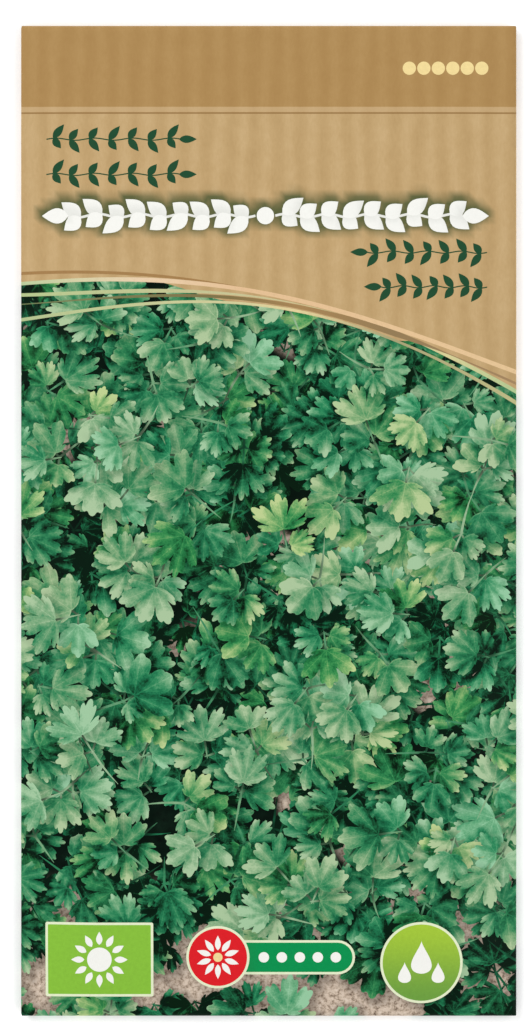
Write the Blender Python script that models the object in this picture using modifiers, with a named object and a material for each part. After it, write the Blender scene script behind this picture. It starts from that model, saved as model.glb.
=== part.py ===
"""Seed packet: one printed paper blank, folded and glued into a flat pocket, with loose coriander seeds.

The packet lies on its back panel. X runs across it, Y towards its top edge and Z out of its printed front.
The origin is the middle of the footprint, on the surface that the packet lies on.
"""

import math
import random

import bmesh
import bpy
from mathutils import Euler

MM = 0.001

# Finished packet
PACKET_WIDTH = 80 * MM
PACKET_HEIGHT = 160 * MM
PAPER = 0.2 * MM
LAYER_GAP = 0.3 * MM

# Flaps of the blank, as their lengths past the fold
SIDE_FLAP = 12 * MM
BOTTOM_FLAP = 14 * MM
TOP_FLAP = 20 * MM
FLAP_TAPER = 0.035
SIDE_FLAP_TAPER = 0.05
CORNER_NOTCH = 0.6 * MM
BACK_EDGE_INSET = 1.1 * MM

# Seeds, as a single loose layer that has run to the lower half of the pocket
SEED_COUNT = 52
SEED_DIAMETERS = (3.8 * MM, 4.2 * MM, 4.6 * MM)
SEED_SPACING = 5.6 * MM
SEED_POOL_HALF_WIDTH = 22.5 * MM
SEED_POOL_BOTTOM = -54 * MM
SEED_POOL_TOP = 12 * MM
SEED_LENGTHENING = 1.05
SEED_RIDGE_DEPTH = 0.05
SEED_SIDES = 10
SEED_RINGS = 5
SEED_DRAW = 11

# Level of each paper layer's middle, from the surface upwards
LAYER_STEP = PAPER + LAYER_GAP
END_FLAP_LEVEL = PAPER / 2
RIM_LEVEL = END_FLAP_LEVEL + LAYER_STEP
SIDE_FLAP_LEVEL = RIM_LEVEL + LAYER_STEP
FRONT_LEVEL = SIDE_FLAP_LEVEL + LAYER_STEP

# Fold radii at the middle of the paper, and the lines the folds turn about
LEFT_RADIUS = (FRONT_LEVEL - SIDE_FLAP_LEVEL) / 2
RIGHT_RADIUS = (FRONT_LEVEL - RIM_LEVEL) / 2
END_RADIUS = (FRONT_LEVEL - END_FLAP_LEVEL) / 2
LEFT_FOLD_X = -(PACKET_WIDTH / 2 - PAPER / 2 - LEFT_RADIUS)
RIGHT_FOLD_X = PACKET_WIDTH / 2 - PAPER / 2 - RIGHT_RADIUS
END_FOLD_Y = PACKET_HEIGHT / 2 - PAPER / 2 - END_RADIUS

# The back panel sags to the surface inside this rectangle, under the seeds
SAG_HALF_WIDTH = 24 * MM
SAG_BOTTOM = -56 * MM
SAG_TOP = 47 * MM
SAG_SLOPE = 4 * MM

# The front panel stands over the seeds and falls away to the folds
SWELL = 3.95 * MM
SWELL_SIDE_RUN = 14.5 * MM
SWELL_BOTTOM_RUN = 22 * MM
SWELL_TOP_START = 14 * MM

# Glue lines, thinner than the gap they hold together
GLUE = 0.1 * MM
SIDE_GLUE_WIDTH = 7 * MM
SIDE_GLUE_LENGTH = 144 * MM
BOTTOM_GLUE_WIDTH = 8 * MM
TOP_GLUE_WIDTH = 13 * MM
END_GLUE_LENGTH = 68 * MM

# Printed fields of the front. The picture's top edge falls to the right.
BAND_BOTTOM_Y = 66.8 * MM
PICTURE_TOP_Y = 33 * MM
PICTURE_TOP_FALL = 0.2

# The envelope's material slots, in their order
PRINTS = {
    "kraft_print": (0.56, 0.38, 0.175),
    "band_print": (0.44, 0.26, 0.095),
    "leaf_print": (0.07, 0.2, 0.095),
}
WHITE_PAPER = (0.86, 0.84, 0.79)
DRIED_GLUE = (0.78, 0.72, 0.52)
SEED_BROWN = (0.36, 0.22, 0.095)

# Cells of the blank's grid along each stretch
FOLD_CELLS = 4
SIDE_FLAP_CELLS = 3
END_FLAP_CELLS = 2
FRONT_SIDE_CELLS = 4
FRONT_MIDDLE_CELLS = 6
BACK_RIM_CELLS = 2
BACK_SAG_CELLS = 3
BOTTOM_RIM_CELLS = 4
MIDDLE_CELLS = 13
HEADER_CELLS = 2


def clear_scene():
    for obj in list(bpy.data.objects):
        bpy.data.objects.remove(obj, do_unlink=True)


def make_collection(name):
    collection = bpy.data.collections.new(name)
    bpy.context.scene.collection.children.link(collection)
    return collection


def make_material(name, colour, roughness):
    material = bpy.data.materials.new(name)
    material.use_nodes = True
    shader = material.node_tree.nodes["Principled BSDF"]
    shader.inputs["Base Color"].default_value = (*colour, 1)
    shader.inputs["Roughness"].default_value = roughness
    shader.inputs["Metallic"].default_value = 0
    return material


def ramp(distance, run):
    """0 at no distance and 1 from run onwards."""
    return min(max(distance / run, 0), 1)


def even(start, end, cells):
    return [start + (end - start) * i / cells for i in range(cells + 1)]


def back_level(x, y):
    """Middle of the back panel's paper: flat round its rim, and lying on the surface under the seeds."""
    across = ramp(SAG_HALF_WIDTH + SAG_SLOPE - abs(x), SAG_SLOPE)
    lengthways = min(
        ramp(y - SAG_BOTTOM + SAG_SLOPE, SAG_SLOPE), ramp(SAG_TOP + SAG_SLOPE - y, SAG_SLOPE)
    )
    return RIM_LEVEL - (RIM_LEVEL - PAPER / 2) * across * lengthways


def front_level(x, y):
    """Middle of the front panel's paper: drawn tight at the folds and swollen over the seeds."""
    side = ramp(min(x - LEFT_FOLD_X, RIGHT_FOLD_X - x), SWELL_SIDE_RUN)
    bottom = ramp(y + END_FOLD_Y, SWELL_BOTTOM_RUN)
    top = ramp(END_FOLD_Y - y, END_FOLD_Y - SWELL_TOP_START)
    arch = math.sin(side * math.pi / 2) * math.sin(bottom * math.pi / 2)
    return FRONT_LEVEL + SWELL * arch * (1 - math.cos(top * math.pi)) / 2


# The blank is a grid of stations. Each station is (region, place): a place is a coordinate on a panel,
# an angle on a fold, and a share of the flap's length, from its fold, on a flap.


def stations(region, places):
    return [(region, place) for place in places]


def blank_columns():
    """Stations across the blank, from the side flap's free edge to the back panel's."""
    left_crest = LEFT_FOLD_X + SWELL_SIDE_RUN
    right_crest = RIGHT_FOLD_X - SWELL_SIDE_RUN
    left = [LEFT_FOLD_X] + even(LEFT_FOLD_X + CORNER_NOTCH, left_crest, FRONT_SIDE_CELLS)
    middle = even(left_crest, right_crest, FRONT_MIDDLE_CELLS)[1:-1]
    right = even(right_crest, RIGHT_FOLD_X - CORNER_NOTCH, FRONT_SIDE_CELLS) + [RIGHT_FOLD_X]
    foot = SAG_HALF_WIDTH + SAG_SLOPE
    free_edge = -(PACKET_WIDTH / 2 - BACK_EDGE_INSET)
    right_rim = even(RIGHT_FOLD_X, foot, BACK_RIM_CELLS)[1:]
    sag = even(SAG_HALF_WIDTH, -SAG_HALF_WIDTH, BACK_SAG_CELLS)
    left_rim = even(-foot, free_edge, BACK_RIM_CELLS)
    return (
        stations("side_flap", even(1, 0, SIDE_FLAP_CELLS)[:-1])
        + stations("left_fold", even(math.pi, 0, FOLD_CELLS)[:-1])
        + stations("front", left + middle + right)
        + stations("right_fold", even(0, math.pi, FOLD_CELLS)[1:])
        + stations("back", right_rim + sag + left_rim)
    )


def blank_rows():
    """Stations along the blank, from the bottom flap's free edge to the top flap's."""
    trimmed = END_FOLD_Y - CORNER_NOTCH
    low = [-END_FOLD_Y] + even(-trimmed, SAG_BOTTOM - SAG_SLOPE, BOTTOM_RIM_CELLS)
    middle = even(SAG_BOTTOM, SAG_TOP, MIDDLE_CELLS)
    high = even(SAG_TOP + SAG_SLOPE, BAND_BOTTOM_Y, HEADER_CELLS)
    band = even(BAND_BOTTOM_Y, trimmed, HEADER_CELLS)[1:] + [END_FOLD_Y]
    return (
        stations("bottom_flap", even(1, 0, END_FLAP_CELLS)[:-1])
        + stations("bottom_fold", even(math.pi, 0, FOLD_CELLS)[:-1])
        + stations("panel", low + middle + high + band)
        + stations("top_fold", even(0, math.pi, FOLD_CELLS)[1:])
        + stations("top_flap", even(0, 1, END_FLAP_CELLS)[1:])
    )


def folded_side(column, y):
    """Where a station beside the front panel comes to lie."""
    region, place = column
    if region == "side_flap":
        return LEFT_FOLD_X + place * SIDE_FLAP, y * (1 - SIDE_FLAP_TAPER * place), SIDE_FLAP_LEVEL
    if region == "left_fold":
        axis_z = SIDE_FLAP_LEVEL + LEFT_RADIUS
        return LEFT_FOLD_X - LEFT_RADIUS * math.sin(place), y, axis_z + LEFT_RADIUS * math.cos(place)
    if region == "right_fold":
        axis_z = RIM_LEVEL + RIGHT_RADIUS
        return RIGHT_FOLD_X + RIGHT_RADIUS * math.sin(place), y, axis_z + RIGHT_RADIUS * math.cos(place)
    return place, y, back_level(place, y)


def folded_end(x, row):
    """Where a station above or below the front panel comes to lie."""
    region, place = row
    end = 1 if region.startswith("top") else -1
    if region.endswith("fold"):
        reach = END_FOLD_Y + END_RADIUS * math.sin(place)
        return x, end * reach, END_FLAP_LEVEL + END_RADIUS * (1 + math.cos(place))
    length = TOP_FLAP if end > 0 else BOTTOM_FLAP
    return x * (1 - FLAP_TAPER * place), end * (END_FOLD_Y - place * length), END_FLAP_LEVEL


def folded(column, row):
    """The folded place of one station of the blank."""
    if column[0] == "front" and row[0] == "panel":
        return column[1], row[1], front_level(column[1], row[1])
    if column[0] == "front":
        return folded_end(column[1], row)
    return folded_side(column, row[1])


def cell_regions(line, panel):
    """The region of each cell between two stations. A panel's own stations also bound the folds beside it."""
    return [a[0] if a[0] != panel else b[0] for a, b in zip(line, line[1:])]


def is_paper(i, j, column_cells, row_cells):
    """Whether the blank has paper in cell i, j. Its corners and the ends of its side parts are cut away."""
    across, along = column_cells[i], row_cells[j]
    if across == "front":
        edge = column_cells[i - 1] != "front" or column_cells[i + 1] != "front"
        return along == "panel" or not edge
    edge = row_cells[j - 1] != "panel" or row_cells[j + 1] != "panel"
    return along == "panel" and not edge


def print_slot(region, x, y):
    """The material slot of a cell's print. The front's print runs on round the folds. The back is plain."""
    if region == "back":
        name = "kraft_print"
    elif y >= BAND_BOTTOM_Y:
        name = "band_print"
    elif y > PICTURE_TOP_Y - PICTURE_TOP_FALL * x:
        name = "kraft_print"
    else:
        name = "leaf_print"
    return list(PRINTS).index(name)


def make_envelope(collection):
    """The paper blank, cut from a grid, folded along its stations and thickened."""
    columns, rows = blank_columns(), blank_rows()
    column_cells, row_cells = cell_regions(columns, "front"), cell_regions(rows, "panel")
    wide, high = len(column_cells), len(row_cells)
    shape = bmesh.new()
    bmesh.ops.create_grid(shape, x_segments=wide, y_segments=high, size=1)

    def index(co):
        return round((co.x + 1) / 2 * wide), round((co.y + 1) / 2 * high)

    cut_away = []
    for face in shape.faces:
        corners = [index(vert.co) for vert in face.verts]
        i, j = min(c[0] for c in corners), min(c[1] for c in corners)
        x, y, _ = folded(columns[i], rows[j])
        face.material_index = print_slot(column_cells[i], x, y)
        if not is_paper(i, j, column_cells, row_cells):
            cut_away.append(face)
    bmesh.ops.delete(shape, geom=cut_away, context="FACES")
    for vert in shape.verts:
        i, j = index(vert.co)
        vert.co = folded(columns[i], rows[j])

    mesh = bpy.data.meshes.new("envelope")
    shape.to_mesh(mesh)
    shape.free()
    mesh.shade_smooth()
    for name, colour in PRINTS.items():
        mesh.materials.append(make_material(name, colour, 0.5))
    mesh.materials.append(make_material("paper_inside", WHITE_PAPER, 0.8))
    envelope = bpy.data.objects.new("envelope", mesh)
    collection.objects.link(envelope)
    thickness = envelope.modifiers.new("paper_thickness", "SOLIDIFY")
    thickness.thickness = PAPER
    thickness.offset = 0
    thickness.use_even_offset = True
    thickness.use_quality_normals = True
    thickness.material_offset = len(PRINTS)
    thickness.material_offset_rim = len(PRINTS)
    return envelope


def make_glue(name, width, length, centre, material, collection):
    """A thin flat glue line, from a cube."""
    shape = bmesh.new()
    bmesh.ops.create_cube(shape, size=1)
    bmesh.ops.scale(shape, vec=(width, length, GLUE), verts=shape.verts)
    mesh = bpy.data.meshes.new(name)
    shape.to_mesh(mesh)
    shape.free()
    mesh.materials.append(material)
    glue = bpy.data.objects.new(name, mesh)
    glue.location = centre
    collection.objects.link(glue)


def make_glue_lines(collection):
    """The line down the side seam and the two across the end flaps."""
    material = make_material("dried_glue", DRIED_GLUE, 0.4)
    seam_level = (SIDE_FLAP_LEVEL + RIM_LEVEL) / 2
    seam_x = LEFT_FOLD_X + SIDE_FLAP / 2
    seam_centre = (seam_x, 0, seam_level)
    make_glue("side_seam_glue", SIDE_GLUE_WIDTH, SIDE_GLUE_LENGTH, seam_centre, material, collection)
    flap_level = (END_FLAP_LEVEL + RIM_LEVEL) / 2
    bottom_y = -(END_FOLD_Y - BOTTOM_FLAP / 2)
    top_y = END_FOLD_Y - TOP_FLAP / 2
    bottom_centre = (0, bottom_y, flap_level)
    make_glue("bottom_flap_glue", END_GLUE_LENGTH, BOTTOM_GLUE_WIDTH, bottom_centre, material, collection)
    top_centre = (0, top_y, flap_level)
    make_glue("top_flap_glue", END_GLUE_LENGTH, TOP_GLUE_WIDTH, top_centre, material, collection)


def seed_mesh(diameter, material):
    """A ribbed globe, a little longer than wide, from a UV sphere."""
    shape = bmesh.new()
    bmesh.ops.create_uvsphere(shape, u_segments=SEED_SIDES, v_segments=SEED_RINGS, radius=diameter / 2)
    for vert in shape.verts:
        around = math.atan2(vert.co.y, vert.co.x) / (2 * math.pi) * SEED_SIDES
        groove = round(around) % 2 * SEED_RIDGE_DEPTH
        vert.co.x *= 1 - groove
        vert.co.y *= 1 - groove
        vert.co.z *= SEED_LENGTHENING
    mesh = bpy.data.meshes.new("coriander_seed")
    shape.to_mesh(mesh)
    shape.free()
    mesh.shade_smooth()
    mesh.materials.append(material)
    return mesh


def seed_places(draw):
    """Loose places in the pool, no two closer than the seed spacing."""
    places = []
    while len(places) < SEED_COUNT:
        x = draw.uniform(-SEED_POOL_HALF_WIDTH, SEED_POOL_HALF_WIDTH)
        y = draw.uniform(SEED_POOL_BOTTOM, SEED_POOL_TOP)
        if all(math.dist((x, y), other) >= SEED_SPACING for other in places):
            places.append((x, y))
    return sorted(places, key=lambda place: -place[1])


def make_seeds(collection):
    """Loose seeds, each its own object, resting just clear of the back panel."""
    draw = random.Random(SEED_DRAW)
    material = make_material("coriander_seed", SEED_BROWN, 0.75)
    meshes = [seed_mesh(diameter, material) for diameter in SEED_DIAMETERS]
    for number, (x, y) in enumerate(seed_places(draw), start=1):
        mesh = draw.choice(meshes)
        seed = bpy.data.objects.new(f"coriander_seed_{number:02d}", mesh)
        seed.rotation_euler = Euler([draw.uniform(0, 2 * math.pi) for _ in range(3)])
        turn = seed.rotation_euler.to_matrix()
        lowest = min((turn @ vert.co).z for vert in mesh.vertices)
        seed.location = (x, y, PAPER + LAYER_GAP - lowest)
        collection.objects.link(seed)


def main():
    clear_scene()
    collection = make_collection("seed_packet")
    make_envelope(collection)
    make_glue_lines(collection)
    make_seeds(collection)


main()
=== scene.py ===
"""Looks of the seed packet: the printed, folded paper, its loose seeds and its glue, on a plain pale floor.

The paper is drawn as its flat blank, u across and v along, in millimetres. Each printed mark is a closed
outline on the blank. The blank is cut into triangles along the outlines that show, so that every ink has its
own faces, and then folded. Everything that isn't called a blank's place is in the packet's own frame.
Colours of inks and materials are triples from 0 to 255, as a screen shows them.
"""

import math
import random

import bmesh
import bpy
import numpy as np
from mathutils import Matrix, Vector
from mathutils.geometry import delaunay_2d_cdt
from mathutils.kdtree import KDTree


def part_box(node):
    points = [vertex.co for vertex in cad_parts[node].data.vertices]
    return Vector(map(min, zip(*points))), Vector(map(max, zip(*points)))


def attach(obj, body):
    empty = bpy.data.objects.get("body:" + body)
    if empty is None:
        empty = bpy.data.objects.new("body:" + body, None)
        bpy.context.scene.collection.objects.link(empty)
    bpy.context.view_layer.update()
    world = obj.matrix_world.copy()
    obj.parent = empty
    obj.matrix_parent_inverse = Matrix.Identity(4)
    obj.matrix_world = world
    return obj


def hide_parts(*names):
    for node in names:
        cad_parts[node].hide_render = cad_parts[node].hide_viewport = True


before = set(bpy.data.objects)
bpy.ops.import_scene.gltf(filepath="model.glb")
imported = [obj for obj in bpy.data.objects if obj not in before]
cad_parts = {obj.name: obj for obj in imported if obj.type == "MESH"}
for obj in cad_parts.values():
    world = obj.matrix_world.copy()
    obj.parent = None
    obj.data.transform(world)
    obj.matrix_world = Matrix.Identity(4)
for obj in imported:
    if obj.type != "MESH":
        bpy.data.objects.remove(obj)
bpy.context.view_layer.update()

MM = 0.001

ENVELOPE_LOW, ENVELOPE_HIGH = (np.array(corner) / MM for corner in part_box("envelope"))
WIDTH, HEIGHT, THICKNESS = ENVELOPE_HIGH - ENVELOPE_LOW
PAPER = 0.2
LAYER_STEP = 0.5

# Flaps of the blank: their lengths past the fold, their tapers, notches and corners
SIDE_FLAP = 12
BOTTOM_FLAP = 14
TOP_FLAP = 20
FLAP_TAPER = 0.035
SIDE_FLAP_TAPER = 0.05
CORNER_NOTCH = 0.4
CAP_SHARE = 0.45
BACK_EDGE_INSET = 1.1
FLAP_CORNER = 2.2
FLAP_CORNER_CUT = ((0, 1), (0.25, 0.25), (1, 0))

# Level of the middle of each paper layer
END_FLAP_LEVEL = PAPER / 2
RIM_LEVEL = END_FLAP_LEVEL + LAYER_STEP
SIDE_FLAP_LEVEL = RIM_LEVEL + LAYER_STEP
FRONT_LEVEL = SIDE_FLAP_LEVEL + LAYER_STEP

LEFT_RADIUS = (FRONT_LEVEL - SIDE_FLAP_LEVEL) / 2
RIGHT_RADIUS = (FRONT_LEVEL - RIM_LEVEL) / 2
END_RADIUS = (FRONT_LEVEL - END_FLAP_LEVEL) / 2
LEFT = -(WIDTH / 2 - PAPER / 2 - LEFT_RADIUS)
RIGHT = WIDTH / 2 - PAPER / 2 - RIGHT_RADIUS
END = HEIGHT / 2 - PAPER / 2 - END_RADIUS
LEFT_TURN = math.pi * LEFT_RADIUS
RIGHT_TURN = math.pi * RIGHT_RADIUS
END_TURN = math.pi * END_RADIUS

# The back panel sags to the surface under the seeds, and the front panel stands over them
SAG_HALF_WIDTH = 24
SAG_BOTTOM = -56
SAG_TOP = 47
SAG_SLOPE = 4
SWELL = THICKNESS - PAPER / 2 - FRONT_LEVEL
SWELL_SIDE_RUN = 14.5
SWELL_BOTTOM_RUN = 22
SWELL_TOP_START = 14

# The front panel sinks a little between the seeds and is drawn into soft folds near its lower corners
SINK = 0.3
SEED_HOLD_REACH = 3.4
SEED_HOLD_LOW = 3.5
SEED_HOLD_RANGE = 1.2
CORNER_FOLD_DEPTH = 0.22
CORNER_FOLD_COUNT = 11
CORNER_FOLD_PLACE = 19
CORNER_FOLD_REACH = 8
CORNER_FOLD_FADE = 6

# Seeds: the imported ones, and more of the same loose pool between them
SEED_NODES = sorted(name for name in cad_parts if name.startswith("coriander_seed"))
SEED_FLOOR = PAPER + 0.3
EXTRA_SEED_SIZES = (3.0, 3.9)
EXTRA_SEED_TRIES = 6000
SEED_CLEARANCE = 0.08
POOL_HALF_WIDTH = 23
POOL_BOTTOM = -55
POOL_TOP = 16
SEED_SEGMENTS = 40
SEED_RINGS = 12
SEED_RIBS = 10
SEED_HEIGHT_BASE, SEED_RIB_HEIGHT, SEED_FINE_HEIGHT, SEED_TIP_HEIGHT = 0.955, 0.045, 0.012, 0.06

# Steps of the triangulated sheets, the printed side's share of the bake, and the ink where no mark lies
FRONT_STEP = 1.15
FRONT_INNER_STEP = 2.2
BACK_STEP = 1.8
FLAP_STEP = 3
FOLD_STEPS = 6
SAME_PLACE = 1e-5
GRID_CLEARANCE = 0.04
EDGE_STEP = 1.1
PRINT_SHARE = 0.975
BARE_INK = "kraft"

# The picture under the header. Waves are the number and the longest of those that a soft pattern sums.
PICTURE_BLEED = 1.2
FOLIAGE_HALF_WIDTH = 48
FOLIAGE_TOP, FOLIAGE_BOTTOM = 44, -(END + END_TURN + 3)
HOLLOW_WAVES, BRIGHT_WAVES, CLUMP_WAVES = (7, 42), (5, 60), (9, 30)
BRIGHT_WEIGHT, CLUMP_WEIGHT = 0.14, 0.15
DEEPEST_TONE, TONE_RANGE, TONE_POWER, TONE_JITTER, BRIGHTEST_TONE = 0.13, 0.48, 0.8, 0.09, 0.74
SOIL_V, SOIL_RUN = -60, 16

# Sprigs of three leaves, in tiers, and the shapes of their stalks and leaves
LEAF_TIERS = 6
SPRIG_SPACING, SPRIG_SPACING_GAIN = 8.2, 1.4
SPRIG_ROW_STEP = 0.87
SPRIG_JITTER = 0.35
LONG_STALK_SHARE = 0.6
LONG_STALKS, LONG_STALK_WIDTHS, LONG_STALK_TONE = (4.0, 7.0), (0.4, 0.38, 0.32, 0.22, 0.06), 0.14
SHORT_STALKS, SHORT_STALK_WIDTHS, SHORT_STALK_TONE = (0.6, 1.6), (0.1, 0.32, 0.34, 0.2), 0.12
SIDE_LEAF_TURNS, MIDDLE_LEAF_TURNS = (0.8, 1.3), (-0.2, 0.2)
SIDE_LEAF, MIDDLE_LEAF, MIDDLE_STALK = 0.92, 1.12, 2.4
LEAF_LENGTHS = (4.3, 6.6)
LEAF_POINTS = 92
BLADE_POINTS = 9
LEAF_SPREAD = 2.25
LEAF_STRETCH_ACROSS, LEAF_STRETCH_ALONG = (0.7, 1.05), (0.8, 1.0)
LOBE_TURNS, LOBE_DEPTHS, LOBE_POWER = (0.62, 0.74, 0.9), (0.4, 0.7), 0.42
TOOTH_DEPTHS, TOOTH_POWER, TEETH_A_LOBE = (0.1, 0.22), 0.6, 3

# Shadows that marks cast on those below, and the width of a leaf's rim
LEAF_SHADOW = np.array((0.45, -0.5))
GARLAND_SHADOW = np.array((-0.3, 0.35))
SHADOW_REACH = 1.5
EDGE_REACH = 1.3

# The curved lines between header and picture, by ink. Each has its heights and its widths at the stations.
ARC_STATIONS = (-38.6, -19.2, -4.6, 5.0, 19.9, 29.3, 38.2)
ARCS = {
    "brown_line": ((40.0, 39.55, 37.6, 35.6, 30.95, 28.05, 24.6), (0.5, 0.5, 0.2, 0.1, 0.1, 0.1, 0.1)),
    "cream_line": ((36.5, 37.0, 36.4, 35.0, 30.1, 26.65, 21.75), (0.55, 0.65, 0.35, 0.1, 0.1, 0.65, 0.65)),
    "olive_line": ((35.05, 36.2, 35.7, 34.8, 29.7, 27.2, 22.8), (0.14, 0.45, 0.55, 0.6, 1.0, 0.1, 0.4)),
    "peach_line": ((38.4, 38.75, 37.4, 35.5, 30.95, 28.05, 24.6), (0.55, 0.72, 0.65, 0.7, 0.72, 0.7, 0.7)),
    "gold_line": ((32.65, 35.0, 34.95, 33.85, 29.0, 25.1, 20.05), (0.55, 0.5, 0.4, 0.45, 0.4, 0.45, 0.65)),
}
ARC_DEGREE = 4

# Board fills the gaps between the lines from the start on. It widens over the run until it reaches down to
# the gold line, and from the end on it reaches down to the cream one.
FILL_START, FILL_END, FILL_RUN = -20, 24, 16

# Where marks end that run off the paper, and where the dark ground of the picture ends under the header
PRINT_LEFT, PRINT_RIGHT = -60, 60
PRINT_TOP, PRINT_BOTTOM = 120, -(END + END_TURN + 30)
HOLLOW_TOP = 60

# The header's ornaments
TITLE_LEFT, TITLE_RIGHT, TITLE_V, TITLE_GAP, TITLE_BEAD = -32.6, 31.5, 49.2, 1.6, 1.4
NAME_ROWS = (
    ((-35.9, 61.6), (-14.2, 61.6)),
    ((-35.9, 55.9), (-14.2, 55.9)),
    ((35.2, 43.3), (15.7, 43.3)),
    ((35.2, 37.7), (17.9, 37.7)),
)
DOT_ROW_U, DOT_ROW_V, DOT_SPACING, DOT_RADIUS, DOT_COUNT = 22.7, 73.1, 2.34, 1.08, 6

# Kinds of vine: ink, length and width of a leaf, pairs of leaves, their lean, the stem's wave and the shadow
GARLAND = {"ink": "white", "leaf": 4.3, "width": 2.5, "pairs": 9, "lean": 0.66, "wave": 0.3, "shadow": 1.0}
NAME_SPRIG = {"ink": "dark_green", "leaf": 2.9, "width": 1.25, "pairs": 7, "lean": 0.9, "wave": 0.18}
BACK_VINE = {"ink": "green", "leaf": 4.0, "width": 2.0, "pairs": 11, "lean": 0.9, "wave": 0.5}

# The three badges at the foot of the front
BADGE_BORDER = 0.4
BADGE_SHADOW = 0.4
LEFT_BADGE, LEFT_BADGE_SIZE, LEFT_BADGE_CORNERS = (-27.3, -70.7), (17.4, 12.1), (0.3, 0.15)
STRIP, STRIP_SIZE = (2.6, -70.3), (22.6, 5.6)
STRIP_CORNERS = (STRIP_SIZE[1] / 2 - 0.01, STRIP_SIZE[1] / 2 - BADGE_BORDER - 0.01)
STRIP_DOTS, STRIP_DOT_U, STRIP_DOT_STEP, STRIP_DOT_RADIUS = 5, -0.8, 2.9, 0.85
RED_DISC, RED_DISC_RADIUS = (-8.2, -70.3), 5.1
RIGHT_BADGE, RIGHT_BADGE_RADIUS = (24.6, -71.2), 6.65
DROPS = (((0.0, 0.9), 2.7), ((-2.7, -1.6), 1.7), ((2.7, -1.6), 1.7))

# The back print. It is a guess, and it carries no words.
BACK_LEFT = RIGHT + RIGHT_TURN
BACK_PRINT_RIGHT = BACK_LEFT + 90
PANEL_MIDDLE = BACK_LEFT + RIGHT
PANEL_V, PANEL_SIZE, PANEL_CORNER = 6, (66, 92), 3
MONTHS, FIRST_SOWN, LAST_SOWN = 12, 3, 8
MONTH_SIZE, MONTH_CORNER, MONTH_GAP, MONTH_V = (4.2, 6), 0.6, 0.7, -8
SOWING_V, SOWING_STEP, SOWING_RADIUS, SOWING_BORDER = 34.0, 20.0, 8, 0.7
NOTE_LINES, NOTE_V, NOTE_STEP, NOTE_SIZE, NOTE_CORNER = 6, -16.0, 3.6, (56, 0.25), 0.1
VINE_START, VINE_END, VINE_V = PANEL_MIDDLE - 28, PANEL_MIDDLE + 24.5, 12

# The brown board: the width of its flutes, and the foot of its darker band. Each line below the band has its
# bottom and top under that foot, its blur, its strength and its colour.
FLUTE = 3.8
BAND_V = 66.85
BAND_LINES = ((0.85, 0.0, 0.1, 0.5, (204, 172, 128)), (1.2, 0.82, 0.12, 0.9, (154, 118, 72)))
BOARD = ((0.3, (184, 151, 102)), (0.5, (199, 167, 118)), (0.7, (214, 184, 137)))
BAND = ((0.3, (170, 132, 80)), (0.5, (179, 142, 89)), (0.7, (189, 153, 100)))

# The picture's colours, from dark to light, and the leaves' tints
GREENS = (
    (0.0, (3, 28, 15)),
    (0.12, (20, 76, 48)),
    (0.28, (32, 113, 76)),
    (0.43, (54, 136, 92)),
    (0.58, (94, 154, 112)),
    (0.72, (126, 170, 128)),
    (0.86, (150, 184, 145)),
    (1.0, (176, 202, 164)),
)
TINTS = ((0.0, (150, 198, 192)), (0.35, (184, 191, 186)), (0.75, (192, 190, 178)), (1.0, (216, 210, 160)))
DEPTHS = ((0.3, (2, 8, 5)), (0.7, (12, 34, 22)))
SOILS = ((0.3, (56, 44, 38)), (0.4, (150, 130, 112)), (0.51, (214, 194, 174)), (0.7, (236, 220, 204)))

# Colours that the shade of a later mark mixes in
DEEP_SHADE = (1, 16, 8)
SOIL_SHADE = (34, 26, 22)
BOARD_SHADE = (70, 88, 52)
INK_SHADE = (60, 76, 50)

# The header lines' colours, each from left to right, and where across the packet they change
LINE_CHANGES = {
    "cream_line": (0.0, 0.45, 0.86, 1.0),
    "gold_line": (0.0, 0.42, 0.56, 0.75, 1.0),
    "olive_line": (0.0, 0.42, 0.56, 0.75, 1.0),
    "peach_line": (0.0, 0.24, 0.45, 1.0),
}
LINE_COLOURS = {
    "cream_line": ((186, 204, 146), (206, 200, 152), (222, 214, 156), (184, 209, 152)),
    "gold_line": ((182, 200, 146), (214, 210, 158), (235, 216, 160), (172, 166, 122), (198, 194, 140)),
    "olive_line": ((120, 134, 90), (132, 116, 74), (172, 136, 88), (151, 126, 88), (170, 138, 100)),
    "peach_line": ((192, 212, 162), (240, 213, 178), (234, 196, 152), (238, 204, 156)),
}
LINE_GRAIN = (150, 128, 84)

# Plain inks, and how some of them differ from the rest
FLAT_INKS = {
    "white": (252, 252, 246),
    "badge_rim": (236, 244, 208),
    "pale_yellow": (248, 224, 158),
    "brown_line": (168, 130, 82),
    "dark_green": (36, 79, 52),
    "green": (10, 150, 82),
    "pale_green": (206, 222, 176),
    "lime": (140, 197, 64),
    "lime_fade": (169, 206, 62),
    "red": (228, 34, 42),
    "cream_panel": (240, 230, 200),
}
INK_TRAITS = {"white": {"mottling": 0.02, "shading": 0.14}, "lime_fade": {"foot": (112, 163, 68)}}

# Bare paper, glue and seeds
PAPER_COLOURS = ((0.3, (226, 222, 210)), (0.7, (244, 241, 232)))
GLUE_COLOURS = ((0.3, (206, 190, 146)), (0.7, (228, 216, 180)))
SEED_COLOURS = ((0.1, (104, 74, 40)), (0.5, (158, 124, 74)), (0.9, (198, 168, 112)))

# Floor, light and camera, in metres. Each light has its name, place, size and power.
FLOOR_SIZE = 6
FLOOR_LEVEL = -0.02 * MM
FLOOR_COLOURS = ((0.3, (251, 251, 251)), (0.7, (253, 253, 253)))
FLOOR_GLOW = 0.24
WHITE_LIGHT = (1, 1, 1, 1)
SKY_STRENGTH = 0.5
LIGHTS = (("key_light", (-0.95, 0.85, 0.95), 1.1, 13), ("fill_light", (1.1, -0.7, 0.95), 1.3, 10))
CAMERA_PLACE = (-0.69 * MM, 1.51 * MM)
CAMERA_HEIGHT = 0.918
CAMERA_LENS, CAMERA_SENSOR = 200, 36


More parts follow.
